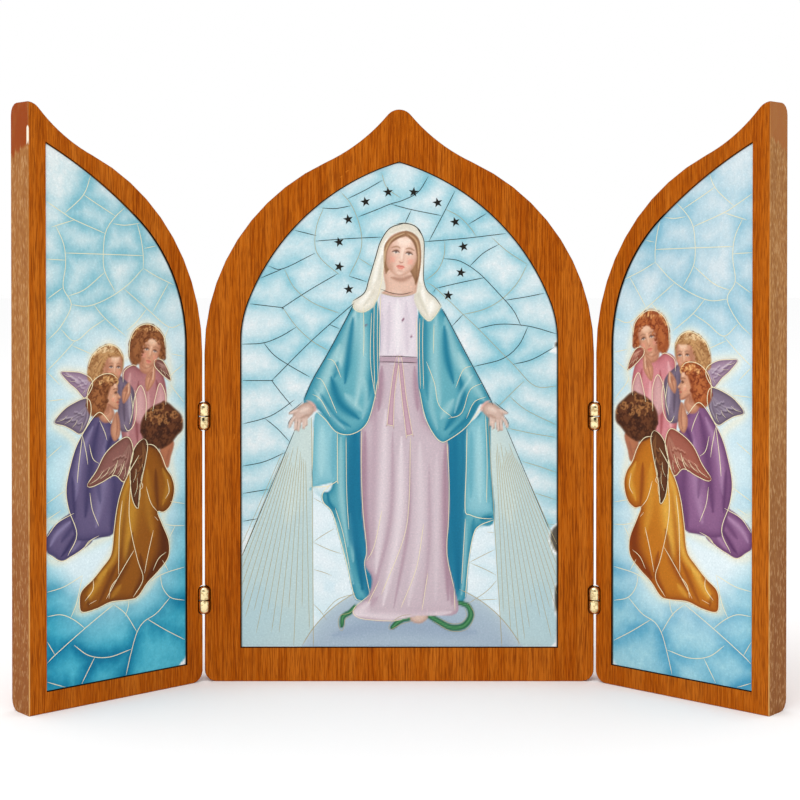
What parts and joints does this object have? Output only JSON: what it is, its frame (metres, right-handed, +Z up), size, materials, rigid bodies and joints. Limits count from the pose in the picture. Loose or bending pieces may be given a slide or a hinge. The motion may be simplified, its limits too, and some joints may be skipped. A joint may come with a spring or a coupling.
{
  "type": "triptych altarpiece",
  "caption": "Free-standing arched devotional triptych: ogee-topped centre board and hinged half-width leaves, each with a recessed printed picture plate.",
  "frame": {"origin": "centre of the centre board's underside, at the middle of its width and thickness", "axes": "+Z up, the pictures face -Y, +X to the right of someone who looks at the pictures"},
  "size_m": [0.2676, 0.0596, 0.2108],
  "materials": {
    "laminate": "satin orange-brown wood-grain laminate",
    "print": "semi-gloss colour print with foil lines",
    "brass": "polished"
  },
  "bodies": {
    "centre": {"centre_board": "laminate", "centre_picture": "print", "left_lower_hinge_fixed_knuckle": "brass", "left_upper_hinge_fixed_knuckle": "brass", "right_lower_hinge_fixed_knuckle": "brass", "right_upper_hinge_fixed_knuckle": "brass"},
    "left_leaf": {"left_board": "laminate", "left_picture": "print", "left_lower_hinge_leaf_knuckle": "brass", "left_upper_hinge_leaf_knuckle": "brass"},
    "right_leaf": {"right_board": "laminate", "right_picture": "print", "right_lower_hinge_leaf_knuckle": "brass", "right_upper_hinge_leaf_knuckle": "brass"}
  },
  "joints": [
    {"name": "left_leaf_hinge", "type": "hinge", "parent": "centre", "child": "left_leaf", "pos_m": [-0.072, -0.00625, 0.0641], "axis": [0, 0, 1], "range_deg": [-41.5, 138.5]},
    {"name": "right_leaf_hinge", "type": "hinge", "parent": "centre", "child": "right_leaf", "pos_m": [0.072, -0.00625, 0.0641], "axis": [0, 0, -1], "range_deg": [-41.5, 138.5]}
  ]
}
